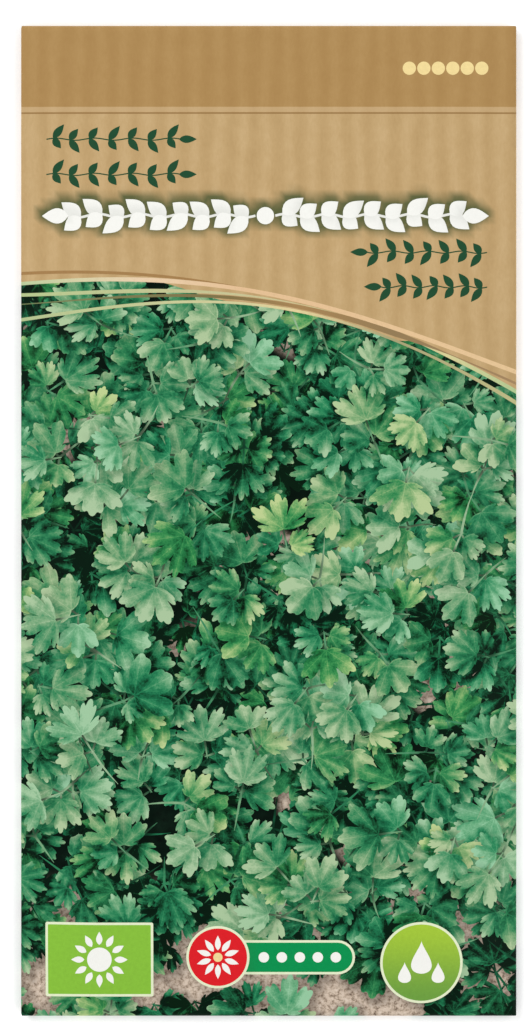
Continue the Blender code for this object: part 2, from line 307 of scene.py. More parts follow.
def ramp(distance, run):
    return np.clip(distance / run, 0, 1)


def ease(distance, run):
    share = ramp(distance, run)
    return share * share * (3 - 2 * share)


# The loose seeds


def all_seeds():
    """Rows of x, y, z and size: the CAD model's seeds, and smaller ones dropped into the gaps."""
    seeds = []
    for name in SEED_NODES:
        low, high = (np.array(corner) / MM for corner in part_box(name))
        seeds.append((*(low + high) / 2, (high - low).mean()))
    draw = random.Random(4)
    for _ in range(EXTRA_SEED_TRIES):
        size = draw.uniform(*EXTRA_SEED_SIZES)
        x = draw.uniform(-POOL_HALF_WIDTH, POOL_HALF_WIDTH)
        y = draw.uniform(POOL_BOTTOM, POOL_TOP)
        place = (x, y, SEED_FLOOR + size / 2)
        if all(math.dist(place, s[:3]) > (size + s[3]) / 2 + SEED_CLEARANCE for s in seeds):
            seeds.append((*place, size))
    return np.array(seeds)


SEEDS = all_seeds()


# The folded shape of the paper


def front_sink(x, y):
    """How far the front panel lies below its full swell."""
    held = np.zeros_like(x)
    for seed_x, seed_y, _, size in SEEDS:
        strength = ramp(size - SEED_HOLD_LOW, SEED_HOLD_RANGE)
        far = ((x - seed_x) ** 2 + (y - seed_y) ** 2) / SEED_HOLD_REACH**2
        held = np.maximum(held, strength * np.exp(-far))
    inner = ease(RIGHT - np.abs(x), SWELL_SIDE_RUN) * ease(y + END, SWELL_BOTTOM_RUN)
    sink = SINK * (1 - held) * inner * ease(END - y, END - SWELL_TOP_START)
    for side in (-1, 1):
        along, up = (RIGHT - side * x), (y + END)
        turn = np.arctan2(up, np.maximum(along, 0.01))
        far = (np.hypot(along, up) - CORNER_FOLD_PLACE) / CORNER_FOLD_REACH
        wave = 0.5 + 0.5 * np.cos(CORNER_FOLD_COUNT * turn + side)
        fade = ease(along, CORNER_FOLD_FADE) * ease(up, CORNER_FOLD_FADE)
        sink += CORNER_FOLD_DEPTH * wave * np.exp(-far * far) * fade
    return sink


def front_level(x, y):
    """Middle of the front panel's paper: drawn tight at the folds and swollen over the seeds."""
    side = ramp(np.minimum(x - LEFT, RIGHT - x), SWELL_SIDE_RUN)
    bottom = ramp(y + END, SWELL_BOTTOM_RUN)
    top = ramp(END - y, END - SWELL_TOP_START)
    arch = np.sin(side * math.pi / 2) * np.sin(bottom * math.pi / 2)
    return FRONT_LEVEL + SWELL * arch * (1 - np.cos(top * math.pi)) / 2 - front_sink(x, y)


def back_sag(x, y):
    """How far the back panel lies below its rim."""
    across = ease(SAG_HALF_WIDTH + SAG_SLOPE - np.abs(x), SAG_SLOPE)
    lower, upper = (ease(run + SAG_SLOPE, SAG_SLOPE) for run in (y - SAG_BOTTOM, SAG_TOP - y))
    return (RIM_LEVEL - PAPER / 2) * across * np.minimum(lower, upper)


def turned(run, radius):
    """Reach past a fold line, and drop below it, of paper that runs on round the fold."""
    angle = np.minimum(run / radius, math.pi)
    return radius * np.sin(angle) - np.maximum(run - math.pi * radius, 0), radius * (1 - np.cos(angle))


def folded(u, v):
    """Where places of the flat blank come to lie in the folded packet."""
    x, y = np.clip(u, LEFT, RIGHT), np.clip(v, -END, END)
    right_reach, right_drop = turned(np.maximum(u - RIGHT, 0), RIGHT_RADIUS)
    left_reach, left_drop = turned(np.maximum(LEFT - u, 0), LEFT_RADIUS)
    end_reach, end_drop = turned(np.maximum(np.abs(v) - END, 0), END_RADIUS)
    level = front_level(x, y) - np.maximum(right_drop + left_drop, end_drop)
    x = x + right_reach - left_reach
    y = y + np.sign(v) * end_reach
    level -= np.where(u > RIGHT + RIGHT_TURN, back_sag(x, y), 0)
    return np.stack((x, y, level), axis=1)


def facing(u, v):
    """The direction that the printed side faces at places of the blank."""
    nudge = 0.01
    across = folded(u + nudge, v) - folded(u - nudge, v)
    along = folded(u, v + nudge) - folded(u, v - nudge)
    normal = np.cross(across, along)
    return normal / np.linalg.norm(normal, axis=1, keepdims=True)


# The flat blank's outlines


def front_outline():
    """Front panel with its folds and the side flap. Caps at its corners reach partly round both folds."""
    trim, cap, far = END - CORNER_NOTCH, END + END_TURN * CAP_SHARE, END + END_TURN
    cap_left, cap_right = LEFT - LEFT_TURN * CAP_SHARE, RIGHT + RIGHT_TURN * CAP_SHARE
    free = LEFT - LEFT_TURN - SIDE_FLAP
    flap_end = trim * (1 - SIDE_FLAP_TAPER)
    upper_half = [
        (RIGHT + RIGHT_TURN, trim),
        (cap_right, trim),
        (cap_right, cap),
        (RIGHT - CORNER_NOTCH, cap),
        (RIGHT - CORNER_NOTCH, far),
        (LEFT + CORNER_NOTCH, far),
        (LEFT + CORNER_NOTCH, cap),
        (cap_left, cap),
        (cap_left, trim),
        (LEFT - LEFT_TURN, trim),
        (free + FLAP_CORNER, flap_end + FLAP_CORNER * SIDE_FLAP_TAPER),
        (free + FLAP_CORNER / 4, flap_end - FLAP_CORNER / 4),
        (free, flap_end - FLAP_CORNER),
    ]
    return np.array(upper_half + [(u, -v) for u, v in reversed(upper_half)])


def back_outlines():
    """Back panel and the two end flaps."""
    start, trim = RIGHT + RIGHT_TURN, END - CORNER_NOTCH
    free = start + RIGHT + WIDTH / 2 - BACK_EDGE_INSET
    panel = np.array([(start, -trim), (free, -trim), (free, trim), (start, trim)])
    return [panel, end_flap(1, TOP_FLAP), end_flap(-1, BOTTOM_FLAP)]


def end_flap(end, length):
    """A flap past the top or bottom fold, a little narrower at its free edge, with its corners cut."""
    root, tip = END + END_TURN, END + END_TURN + length
    sides = []
    for reach in (RIGHT - CORNER_NOTCH, -LEFT - CORNER_NOTCH):
        free = reach * (1 - FLAP_TAPER)
        corner = [(free - FLAP_CORNER * across, tip - FLAP_CORNER * down) for across, down in FLAP_CORNER_CUT]
        sides.append([(reach, root)] + corner)
    right, left = sides
    return np.array([(u, end * v) for u, v in right + [(-u, v) for u, v in reversed(left)]])


def even(start, end, step):
    """Places from start to end, spaced evenly by no more than a step."""
    count = math.ceil(abs(end - start) / step)
    return [start + (end - start) * i / count for i in range(count + 1)]


def fold_lines(start, turn):
    return [start + turn * i / FOLD_STEPS for i in range(FOLD_STEPS + 1)]


def front_grid(step):
    """Places across and along where the front's triangles may meet, and the creases that they never cross."""
    left, right = fold_lines(LEFT - LEFT_TURN, LEFT_TURN), fold_lines(RIGHT, RIGHT_TURN)
    across = even(LEFT - LEFT_TURN - SIDE_FLAP, LEFT - LEFT_TURN, FLAP_STEP)
    across += left + [LEFT + CORNER_NOTCH / 2]
    across += even(LEFT + CORNER_NOTCH, RIGHT - CORNER_NOTCH, step) + [RIGHT - CORNER_NOTCH / 2] + right
    upper = fold_lines(END, END_TURN)
    along = [-v for v in upper] + even(CORNER_NOTCH - END, END - CORNER_NOTCH, step) + upper
    far, ends = END + END_TURN, (LEFT - LEFT_TURN, RIGHT + RIGHT_TURN)
    creases = [((u, -far), (u, far)) for u in left + right]
    creases += [((ends[0], sign * v), (ends[1], sign * v)) for v in upper for sign in (-1, 1)]
    return across, along, creases


def back_grid():
    """The same places for the back panel and the end flaps, which have no creases."""
    start = RIGHT + RIGHT_TURN
    panel = even(start, start + RIGHT + WIDTH / 2 - BACK_EDGE_INSET, BACK_STEP)
    along = even(CORNER_NOTCH - END, END - CORNER_NOTCH, BACK_STEP)
    flap = even(END + END_TURN, END + END_TURN + TOP_FLAP, FLAP_STEP)
    return panel + even(LEFT, RIGHT, FLAP_STEP), along + flap + [-v for v in flap], []


# Tests on closed outlines


def inside(points, outline):
    """Which points lie inside a closed outline."""
    x, y = points[:, :1], points[:, 1:]
    ax, ay = outline[:, 0], outline[:, 1]
    bx, by = np.roll(ax, -1), np.roll(ay, -1)
    rise = np.where(by == ay, 1, by - ay)
    crossed = ((ay > y) != (by > y)) & (x < ax + (y - ay) / rise * (bx - ax))
    return crossed.sum(axis=1) % 2 == 1


def gap(points, outline):
    """How far each point lies from an outline."""
    step = np.roll(outline, -1, axis=0) - outline
    size = np.maximum((step * step).sum(axis=1), 1e-12)
    away = points[:, None] - outline
    share = np.clip((away * step).sum(axis=2) / size, 0, 1)
    return np.sqrt(((away - share[..., None] * step) ** 2).sum(axis=2)).min(axis=1)


class Field:
    """Points kept in order along v, so that those near an outline are found quickly."""

    def __init__(self, points):
        self.points = points
        self.order = np.argsort(points[:, 1], kind="stable")
        self.heights = points[self.order, 1]

    def near(self, outline, margin=0.0):
        """Indices of the points in the outline's box and a margin round it."""
        low, high = outline.min(axis=0) - margin, outline.max(axis=0) + margin
        first, last = np.searchsorted(self.heights, (low[1], high[1]))
        found = self.order[first:last]
        across = self.points[found, 0]
        return found[(across >= low[0]) & (across <= high[0])]


# Printed marks, in the order of printing


def refined(outline):
    """The outline with its long edges split, so that they bend with the paper."""
    outline = np.asarray(outline, float)
    ends = np.roll(outline, -1, axis=0)
    points = []
    for start, end in zip(outline, ends):
        count = max(1, math.ceil(np.linalg.norm(end - start) / EDGE_STEP))
        points += [start + (end - start) * i / count for i in range(count)]
    return np.array(points)


class Mark:
    """One printed mark: a closed outline, its ink, and for a leaf the frame that its veins follow."""

    def __init__(self, outline, ink, shadow=0.0, leaf_frame=None, look=(0.5, 0.5, 0.5, 0.5), lobes=0.0):
        self.outline = refined(outline)
        self.low, self.high = self.outline.min(axis=0), self.outline.max(axis=0)
        self.ink = ink
        self.shadow = shadow
        self.cast = self.outline + (GARLAND_SHADOW if ink == "white" else LEAF_SHADOW)
        self.leaf_frame = leaf_frame
        self.look = look
        self.lobes = lobes


def paired(u, v):
    return np.stack((u, v), axis=1)


def arc(centre, radius, angles):
    return np.array(centre) + radius * paired(np.cos(angles), np.sin(angles))


def disc(centre, radius, points=40):
    return arc(centre, radius, np.linspace(0, 2 * math.pi, points, endpoint=False))


def rounded_box(centre, size, corner):
    """A box with round corners, as a closed outline."""
    half = np.array(size) / 2 - corner
    quarter = np.linspace(0, math.pi / 2, 7)
    arcs = []
    for number, signs in enumerate(((1, 1), (-1, 1), (-1, -1), (1, -1))):
        arcs.append(arc(centre + half * signs, corner, quarter + number * math.pi / 2))
    return np.concatenate(arcs)


def ribbon(line, widths):
    """A closed outline round a line of points, as wide as widths says at each."""
    line = np.asarray(line, float)
    step = np.gradient(line, axis=0)
    side = paired(-step[:, 1], step[:, 0]) / np.linalg.norm(step, axis=1, keepdims=True)
    half = side * np.broadcast_to(widths, len(line))[:, None] / 2
    return np.concatenate((line + half, (line - half)[::-1]))


def turned_matrix(angle):
    return np.array(((math.cos(angle), -math.sin(angle)), (math.sin(angle), math.cos(angle))))


def blade(base, angle, length, width):
    """A plain pointed leaf, from its base towards angle."""
    along = np.linspace(0, 1, BLADE_POINTS)
    half = width / 2 * np.sin(along**0.8 * math.pi)
    upper, lower = paired(along * length, half), paired(along * length, -half)
    return np.array(base) + np.concatenate((upper, lower[-2:0:-1])) @ turned_matrix(angle).T


def lobed_leaf(lobes, lobe_depth, tooth_depth):
    """A round, lobed and toothed leaf a unit long, with its base at the origin and its tip up."""
    angle = np.linspace(-LEAF_SPREAD, LEAF_SPREAD, LEAF_POINTS)
    lobe = np.abs(np.cos(angle * lobes)) ** LOBE_POWER
    tooth = np.abs(np.cos(TEETH_A_LOBE * angle * lobes)) ** TOOTH_POWER
    reach = ease(LEAF_SPREAD - np.abs(angle), 1.5)
    reach = reach * (1 - lobe_depth * (1 - lobe)) * (1 - tooth_depth * (1 - tooth))
    return paired(np.sin(angle) * reach, np.cos(angle) * reach)


def leaf_mark(draw, base, angle, length, tone):
    """One leaf of the picture. Its look is its tone, its tint, where its light comes from and its age."""
    stretch = np.diag((draw.uniform(*LEAF_STRETCH_ACROSS), draw.uniform(*LEAF_STRETCH_ALONG))) * length
    to_blank = turned_matrix(angle) @ stretch
    lobes = math.pi / draw.choice(LOBE_TURNS)
    shape = lobed_leaf(lobes, draw.uniform(*LOBE_DEPTHS), draw.uniform(*TOOTH_DEPTHS))
    look = (tone, draw.random(), draw.random(), draw.random())
    return Mark(base + shape @ to_blank.T, "leaf", 1.0, (base, np.linalg.inv(to_blank)), look, lobes)


def soft_noise(draw, count, longest):
    """A smooth field over the blank, mostly between -1 and 1, as a sum of a few waves."""
    waves = []
    for _ in range(count):
        turn, size = draw.uniform(0, 2 * math.pi), draw.uniform(longest / 2.4, longest)
        waves.append((math.cos(turn) / size, math.sin(turn) / size, draw.uniform(0, 2 * math.pi)))
    return lambda u, v: sum(math.sin(2 * math.pi * (a * u + b * v) + c) for a, b, c in waves) / count**0.5


def foliage():
    """Sprigs of three leaves in tiers, the deepest first. Hollows are left in the upper tiers."""
    draw = random.Random(23)
    hollow = soft_noise(draw, *HOLLOW_WAVES)
    bright = soft_noise(draw, *BRIGHT_WAVES)
    clump = soft_noise(draw, *CLUMP_WAVES)
    marks = []

    def jitter():
        return draw.uniform(-SPRIG_JITTER, SPRIG_JITTER)

    for tier in range(LEAF_TIERS):
        height = tier / (LEAF_TIERS - 1)
        spacing = SPRIG_SPACING + SPRIG_SPACING_GAIN * height
        for row in range(int((FOLIAGE_TOP + 2 - FOLIAGE_BOTTOM) / (spacing * SPRIG_ROW_STEP)) + 1):
            for column in range(int(2 * FOLIAGE_HALF_WIDTH / spacing) + 1):
                u = (column + row % 2 / 2) * spacing - FOLIAGE_HALF_WIDTH + jitter() * spacing
                v = FOLIAGE_BOTTOM + row * spacing * SPRIG_ROW_STEP + jitter() * spacing
                hidden = draw.random() < 0.25 + 0.2 * height or v > FOLIAGE_TOP
                open_share = -1.35 + 0.85 * height + 1.7 * ease(SOIL_V - v, SOIL_RUN)
                if hidden or (tier > 0 and hollow(u, v) < open_share):
                    continue
                light = BRIGHT_WEIGHT * bright(u, v) + CLUMP_WEIGHT * clump(u, v)
                tone = DEEPEST_TONE + TONE_RANGE * height**TONE_POWER + light
                tone = min(tone + draw.uniform(-TONE_JITTER, TONE_JITTER), BRIGHTEST_TONE)
                marks += sprig(draw, (u, v), draw.uniform(0, 2 * math.pi), tone)
    return marks


def stalk_mark(line, widths, tone):
    return Mark(ribbon(line, widths), "stem", look=(tone, 0.5, 0.5, 0.5))


def sprig(draw, root, angle, tone):
    """Three leaves on short stalks, most often at the end of a long one."""
    root = np.array(root)
    marks = []
    if draw.random() < LONG_STALK_SHARE:
        back = angle + math.pi + draw.uniform(-0.5, 0.5)
        way = np.array((-math.sin(back), math.cos(back)))
        sway = draw.uniform(-1, 1) * np.array((way[1], -way[0]))
        reach = draw.uniform(*LONG_STALKS)
        line = [root + way * reach * share + sway * share**2 for share in (0, 0.25, 0.5, 0.75, 1)]
        marks.append(stalk_mark(line, LONG_STALK_WIDTHS, tone + LONG_STALK_TONE))
    left, right = draw.uniform(*SIDE_LEAF_TURNS), -draw.uniform(*SIDE_LEAF_TURNS)
    for turn, middle in ((left, False), (right, False), (draw.uniform(*MIDDLE_LEAF_TURNS), True)):
        length = draw.uniform(*LEAF_LENGTHS) * (MIDDLE_LEAF if middle else SIDE_LEAF)
        stalk = draw.uniform(*SHORT_STALKS) * (MIDDLE_STALK if middle else 1)
        way = np.array((-math.sin(angle + turn), math.cos(angle + turn)))
        line = [root + way * reach for reach in (-0.4, stalk * 0.4, stalk, stalk + length * 0.12)]
        marks.append(stalk_mark(line, SHORT_STALK_WIDTHS, tone + SHORT_STALK_TONE))
        leaf_tone = tone + draw.uniform(-0.13, 0.15)
        marks.append(leaf_mark(draw, root + way * stalk, angle + turn, length, leaf_tone))
    return marks


def arc_level(ink, u):
    return np.polyval(np.polyfit(ARC_STATIONS, ARCS[ink][0], ARC_DEGREE), u)


def arc_marks():
    """Board between the lines where they run close together, and then the lines."""
    u = np.linspace(-WIDTH / 2 - 2, WIDTH / 2 + 2.5, 70)
    filled = u[u > FILL_START]
    top, middle, lower = (arc_level(ink, filled) for ink in ("peach_line", "cream_line", "gold_line"))
    low = middle + (lower - middle) * (1 - ease(filled - FILL_END + FILL_RUN / 4, FILL_RUN / 4))
    low = top - (top - low) * ease(filled - FILL_START, FILL_RUN)
    marks = [Mark(np.concatenate((paired(filled, top), paired(filled, low)[::-1])), "kraft")]
    for ink, (_, widths) in ARCS.items():
        marks.append(Mark(ribbon(paired(u, arc_level(ink, u)), np.interp(u, ARC_STATIONS, widths)), ink))
    return marks


def vine(start, end, ink, leaf, width, pairs, lean, wave, shadow=0.0):
    """A stem between two places with a pair of small leaves at each joint and one at its tip."""
    start, end = np.array(start, float), np.array(end, float)
    share = np.linspace(0, 1, 6 * pairs)
    way = end - start
    run = np.linalg.norm(way)
    across = np.array((-way[1], way[0])) / run
    angle = math.atan2(way[1], way[0])
    sway = wave * np.sin(share * math.pi * pairs)
    line = start + share[:, None] * way + sway[:, None] * across
    marks = [Mark(ribbon(line, 0.16 * width), ink, shadow)]
    for joint in range(pairs):
        place = line[int((joint + 0.35) * (len(line) - 1) / pairs)]
        for side in (-1, 1):
            size = leaf * (0.86 + 0.14 * side * math.cos(joint * 2.1))
            marks.append(Mark(blade(place, angle + side * lean, size, width), ink, shadow))
    marks.append(Mark(blade(line[-1] - way / run * 0.3, angle, leaf, width), ink, shadow))
    return marks


def dot_row(first_u, v, step, count, radius, points, ink):
    return [Mark(disc((first_u + number * step, v), radius, points), ink) for number in range(count)]


def header_marks():
    """Fine green sprigs, a white leaf garland with a soft shadow between them, and a row of pale dots."""
    marks = []
    for start, end in NAME_ROWS:
        marks += vine(start, end, **NAME_SPRIG)
    middle = (TITLE_LEFT + TITLE_RIGHT) / 2
    marks += vine((middle - TITLE_GAP, TITLE_V), (TITLE_LEFT, TITLE_V), **GARLAND)
    marks += vine((middle + TITLE_GAP, TITLE_V), (TITLE_RIGHT, TITLE_V), **GARLAND)
    marks.append(Mark(disc((middle, TITLE_V), TITLE_BEAD), "white", 1.0))
    return marks + dot_row(DOT_ROW_U, DOT_ROW_V, DOT_SPACING, DOT_COUNT, DOT_RADIUS, 20, "pale_yellow")


def sprout(centre, size, ink):
    """A shoot with two seed leaves."""
    u, v = centre
    line = [(u, v - size * 0.55), (u - size * 0.03, v - size * 0.2), (u, v + size * 0.08)]
    return [
        Mark(ribbon(line, size * 0.09), ink),
        Mark(blade((u, v), 0.62, size * 0.72, size * 0.36), ink),
        Mark(blade((u, v), math.pi - 0.62, size * 0.72, size * 0.36), ink),
    ]


def rosette(centre, start, length, width, count, ink):
    """Pointed rays round a place."""
    marks = []
    for number in range(count):
        angle = math.pi / 2 + number * 2 * math.pi / count
        base = np.array(centre) + start * np.array((math.cos(angle), math.sin(angle)))
        marks.append(Mark(blade(base, angle, length, width), ink))
    return marks


def sun(centre, size, ink):
    middle = Mark(disc(centre, size * 0.46), ink)
    return [middle, *rosette(centre, size * 0.56, size * 0.5, size * 0.24, 12, ink)]


def drop(centre, size, ink):
    angle = np.linspace(0, 2 * math.pi, 40, endpoint=False)
    outline = paired(0.95 * np.sin(angle) * np.sin(angle / 2) ** 2, np.cos(angle))
    return [Mark(np.array(centre) + size * outline, ink)]


def framed_box(centre, size, corners, ink):
    """A badge's pale rim and the field inside it. The corners are the rim's radius and the field's."""
    rim = Mark(rounded_box(centre, size, corners[0]), "badge_rim", BADGE_SHADOW)
    return [rim, Mark(rounded_box(centre, np.array(size) - 2 * BADGE_BORDER, corners[1]), ink)]


def framed_disc(centre, radius, points, ink):
    """A round badge's pale rim and the field inside it."""
    rim = Mark(disc(centre, radius, points), "badge_rim", BADGE_SHADOW)
    return [rim, Mark(disc(centre, radius - BADGE_BORDER, points), ink)]


def badge_marks():
    """Left, a sun on a rectangle. Middle, a daisy beside a strip of dots. Right, rain drops on a disc."""
    marks = framed_box(LEFT_BADGE, LEFT_BADGE_SIZE, LEFT_BADGE_CORNERS, "lime")
    marks += sun(LEFT_BADGE, 4.3, "white")
    marks += framed_box(STRIP, STRIP_SIZE, STRIP_CORNERS, "green")
    marks += dot_row(STRIP_DOT_U, STRIP[1], STRIP_DOT_STEP, STRIP_DOTS, STRIP_DOT_RADIUS, 24, "white")
    marks += framed_disc(RED_DISC, RED_DISC_RADIUS, 60, "red")
    marks += rosette(RED_DISC, 1.15, 2.4, 0.95, 10, "white")
    marks.append(Mark(disc(RED_DISC, 0.75, 24), "pale_yellow"))
    marks += framed_disc(RIGHT_BADGE, RIGHT_BADGE_RADIUS, 72, "lime_fade")
    for place, size in DROPS:
        marks += drop(np.array(RIGHT_BADGE) + place, size, "white")
    return marks


def back_marks():
    """Pale panel with a strip of twelve months, three pictures of how to sow, ruled lines and a vine."""
    marks = [Mark(rounded_box((PANEL_MIDDLE, PANEL_V), PANEL_SIZE, PANEL_CORNER), "cream_panel")]
    step = MONTH_SIZE[0] + MONTH_GAP
    first = PANEL_MIDDLE - (MONTHS - 1) / 2 * step
    for month in range(MONTHS):
        ink = "green" if FIRST_SOWN <= month <= LAST_SOWN else "pale_green"
        marks.append(Mark(rounded_box((first + month * step, MONTH_V), MONTH_SIZE, MONTH_CORNER), ink))
    for number in range(3):
        centre = np.array((PANEL_MIDDLE + (number - 1) * SOWING_STEP, SOWING_V))
        marks.append(Mark(disc(centre, SOWING_RADIUS, 60), "dark_green"))
        marks.append(Mark(disc(centre, SOWING_RADIUS - SOWING_BORDER, 60), "pale_green"))
        marks += sowing_picture(number, centre)
    for line in range(NOTE_LINES):
        place = (PANEL_MIDDLE, NOTE_V - line * NOTE_STEP)
        marks.append(Mark(rounded_box(place, NOTE_SIZE, NOTE_CORNER), "dark_green"))
    return marks + vine((VINE_START, VINE_V), (VINE_END, VINE_V), **BACK_VINE)


def sowing_picture(number, centre):
    """Sun with rays, water drop, or a row of sprouts."""
    if number == 0:
        return sun(centre, 4.8, "pale_yellow")
    if number == 1:
        return drop(centre, 4.4, "green")
    marks = [Mark(rounded_box(centre - (0, 3.4), (9, 0.5), 0.2), "dark_green")]
    for side in (-1, 0, 1):
        marks += sprout(centre + np.array((side * 3.4, -1.0)), 3.8, "green")
    return marks


def box_outline(left, low, right, high):
    return [(left, low), (right, low), (right, high), (left, high)]


def all_marks():
    """Every mark of the blank, in the order of printing."""
    edge_u = np.linspace(PRINT_LEFT, PRINT_RIGHT, 90)
    edge_v = arc_level("peach_line", np.clip(edge_u, -WIDTH / 2 - 2, WIDTH / 2 + 3))
    header = list(zip(edge_u, edge_v)) + [(PRINT_RIGHT, PRINT_TOP), (PRINT_LEFT, PRINT_TOP)]
    flap_v = -(END + END_TURN + PICTURE_BLEED)
    return [
        Mark(box_outline(PRINT_LEFT, PRINT_BOTTOM, PRINT_RIGHT, HOLLOW_TOP), "hollow"),
        *foliage(),
        Mark(header, "kraft"),
        Mark(box_outline(BACK_LEFT + PICTURE_BLEED, PRINT_BOTTOM, BACK_PRINT_RIGHT, PRINT_TOP), "kraft"),
        Mark(box_outline(PRINT_LEFT, PRINT_BOTTOM, BACK_PRINT_RIGHT, flap_v), "kraft"),
        *arc_marks(),
        *header_marks(),
        *badge_marks(),
        *back_marks(),
    ]


# Sheets of paper from outlines, grids and marks


def add_edges(points, edges, more_points, more_edges):
    """Adds edges with the points that they use, and tells which points those are."""
    used = sorted({i for edge in more_edges for i in edge})
    place = {old: len(points) + new for new, old in enumerate(used)}
    points += [tuple(more_points[i]) for i in used]
    edges += [(place[a], place[b]) for a, b in more_edges]
    return used


def top_marks(points, marks):
    """For each point, the last mark printed there."""
    top = np.full(len(points), -1)
    field = Field(points)
    for number, mark in enumerate(marks):
        found = field.near(mark.outline)
        top[found[inside(points[found], mark.outline)]] = number
    return top


def showing_edges(marks):
    """The outlines' points, and the edges between them that no later mark covers."""
    sizes = [len(mark.outline) for mark in marks]
    points = np.concatenate([mark.outline for mark in marks])
    covered = top_marks(points, marks) > np.repeat(np.arange(len(marks)), sizes)
    ends = np.cumsum(sizes)
    following = np.arange(1, len(points) + 1)
    following[ends - 1] = ends - sizes
    edges = np.stack((np.arange(len(points)), following), axis=1)
    return points, edges[~(covered & covered[following])].tolist()


def triangulated(points, edges, outlines):
    """Triangles inside the outlines, cut along the edges, each turned to face up, and their centres."""
    vectors = [Vector(point) for point in points]
    verts, _, faces, _, _, _ = delaunay_2d_cdt(vectors, edges, [], 0, SAME_PLACE, False)
    verts, faces = np.array([tuple(vert) for vert in verts]), np.array(faces)
    centres = verts[faces].mean(axis=1)
    on_paper = np.zeros(len(faces), bool)
    for outline in outlines:
        on_paper |= inside(centres, outline)
    faces, centres = faces[on_paper], centres[on_paper]
    used, faces = np.unique(faces, return_inverse=True)
    verts, faces = verts[used], faces.reshape(-1, 3)
    a, b, c = (verts[faces[:, i]] for i in range(3))
    area = (b[:, 0] - a[:, 0]) * (c[:, 1] - a[:, 1]) - (b[:, 1] - a[:, 1]) * (c[:, 0] - a[:, 0])
    faces[area < 0] = faces[area < 0][:, ::-1]
    return verts, faces, centres


def border(faces):
    """Edges with a triangle on one side only, in the triangle's own direction."""
    edges = np.concatenate((faces[:, (0, 1)], faces[:, (1, 2)], faces[:, (2, 0)]))
    known = set(map(tuple, edges))
    return [(a, b) for a, b in edges if (b, a) not in known]


def sheet_points(outlines, grid):
    """The grid's points on the paper, and the creases as edges between points of their own."""
    across, along = (np.unique(np.round(line, 6)) for line in grid[:2])
    points = np.stack(np.meshgrid(across, along), axis=-1).reshape(-1, 2)
    kept = np.zeros(len(points), bool)
    for outline in outlines:
        kept |= inside(points, outline) & (gap(points, outline) > GRID_CLEARANCE)
    points = [tuple(point) for point in points[kept]]
    edges = []
    for ends in grid[2]:
        add_edges(points, edges, ends, [(0, 1)])
    return points, edges


def printed_side(outlines, grid, marks):
    """Triangles of the printed side, cut along the marks' edges that show."""
    points, edges = sheet_points(outlines, grid)
    for outline in map(refined, outlines):
        add_edges(points, edges, outline, [(i, (i + 1) % len(outline)) for i in range(len(outline))])
    add_edges(points, edges, *showing_edges(marks))
    return triangulated(points, edges, outlines)


def plain_side(outlines, grid, verts, rim):
    """Coarser triangles of the inner side, and for each of the rim's points its place among theirs."""
    points, edges = sheet_points(outlines, grid)
    corners = add_edges(points, edges, verts, rim)
    inner_verts, inner_faces, _ = triangulated(points, edges, outlines)
    tree = KDTree(len(inner_verts))
    for number, (u, v) in enumerate(inner_verts):
        tree.insert((u, v, 0), number)
    tree.balance()
    return inner_verts, inner_faces, {i: tree.find((*verts[i], 0))[1] for i in corners}


def corner_prints(verts, faces, top, marks):
    """What the inks read at each triangle's corners: place on the leaf, its look, shade and edge."""
    corners = verts[faces].reshape(-1, 2)
    owner = np.repeat(top, 3)
    leaf_place = np.zeros((len(corners), 2))
    look = np.full((len(corners), 4), 0.5)
    light = np.zeros((len(corners), 4))
    field = Field(corners)
    by_owner = np.argsort(owner, kind="stable")
    starts = np.searchsorted(owner[by_owner], np.arange(len(marks) + 1))
    for number, mark in enumerate(marks):
        own = by_owner[starts[number] : starts[number + 1]]
        if len(own):
            look[own] = mark.look
        if mark.leaf_frame is not None and len(own):
            base, to_leaf = mark.leaf_frame
            leaf_place[own] = (corners[own] - base) @ to_leaf.T
            light[own, 1] = ramp(gap(corners[own], mark.outline), EDGE_REACH)
            light[own, 2] = mark.lobes
        if mark.shadow:
            found = field.near(mark.cast, SHADOW_REACH)
            found = found[owner[found] < number]
            away = np.where(inside(corners[found], mark.cast), 0, gap(corners[found], mark.cast))
            shade = mark.shadow * (1 - ease(away, SHADOW_REACH))
            light[found, 0] = np.maximum(light[found, 0], shade)
    return leaf_place, look, light


def marks_near(outlines, marks):
    """The paper's box on the blank, and the marks that may touch it or shade it."""
    low = np.min([outline.min(axis=0) for outline in outlines], axis=0)
    high = np.max([outline.max(axis=0) for outline in outlines], axis=0)
    reach = SHADOW_REACH + np.abs(LEAF_SHADOW).max()
    seen = [mark for mark in marks if (mark.high > low - reach).all() and (mark.low < high + reach).all()]
    return low, high, seen


